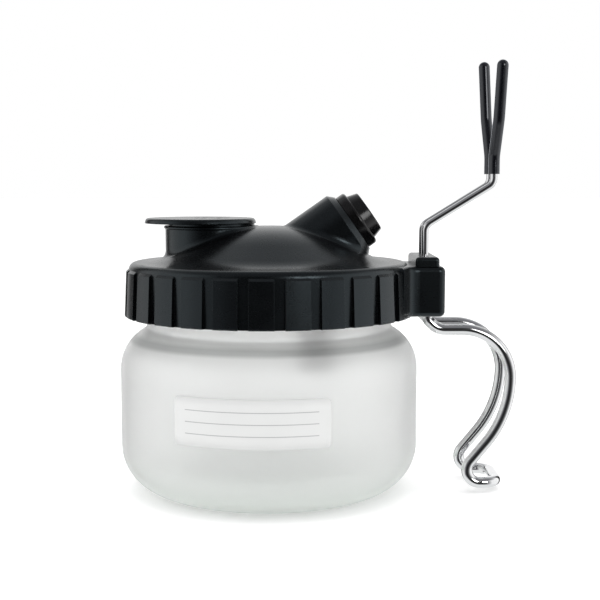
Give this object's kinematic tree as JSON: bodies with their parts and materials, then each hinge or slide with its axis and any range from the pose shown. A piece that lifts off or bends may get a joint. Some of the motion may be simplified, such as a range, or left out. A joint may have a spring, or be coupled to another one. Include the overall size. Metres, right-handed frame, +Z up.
{
  "type": "airbrush cleaning pot",
  "caption": "Frosted glass jar with a ribbed black screw lid, a filtered vent, an angled spray port with a rubber grommet, and a chrome wire fork and loop that hold an airbrush.",
  "frame": {"origin": "centre of the jar's base, on the surface it stands on", "axes": "+Z up along the jar's axis, +X from the jar's axis towards the holder block and the angled port's mouth, -Y the front with the label"},
  "size_m": [0.1164, 0.0882, 0.1268],
  "materials": {
    "frosted_glass": "frosted",
    "label_film": "matte film",
    "foam": "matte foam",
    "lid_plastic": "satin moulded",
    "grid_plastic": "satin moulded",
    "felt": "felt",
    "cap_plastic": "satin moulded",
    "black_rubber": "glossy",
    "pipe_plastic": "smooth",
    "plug_plastic": "satin moulded",
    "chrome_wire": "polished",
    "sleeve_vinyl": "glossy dipped vinyl"
  },
  "bodies": {
    "jar": {"glass_jar": "frosted_glass", "jar_label": "label_film"},
    "lid_seal": {"lid_gasket": "foam"},
    "lid": {"screw_lid": "lid_plastic", "spray_downpipe": "pipe_plastic", "filter_grid": "grid_plastic", "lower_filter_pad": "felt", "upper_filter_pad": "felt", "handle_loop": "chrome_wire"},
    "cap": {"filter_cap": "cap_plastic"},
    "grommet": {"port_grommet": "black_rubber"},
    "fork": {"holder_plug": "plug_plastic", "fork_wire": "chrome_wire", "fork_sleeve_front": "sleeve_vinyl", "fork_sleeve_back": "sleeve_vinyl"}
  },
  "joints": [
    {"name": "lid_lift", "type": "slide", "parent": "jar", "child": "lid_seal", "axis": [0, 0, 1], "range_m": [0, 0.00626]},
    {"name": "lid_turn", "type": "hinge", "parent": "lid_seal", "child": "lid", "pos_m": [0, 0, 0.0644], "axis": [0, 0, 1], "range_deg": [0, 450]},
    {"name": "cap_pull", "type": "slide", "parent": "lid", "child": "cap", "axis": [0, 0, 1], "range_m": [0, 0.01]},
    {"name": "grommet_pull", "type": "slide", "parent": "lid", "child": "grommet", "axis": [0.8192, 0, 0.5736], "range_m": [0, 0.008]},
    {"name": "fork_pull", "type": "slide", "parent": "lid", "child": "fork", "axis": [0, 0, 1], "range_m": [0, 0.016]}
  ],
  "couplings": [
    {"joint": "lid_lift", "follows": "lid_turn", "m_per_rad": 0.00079577}
  ]
}
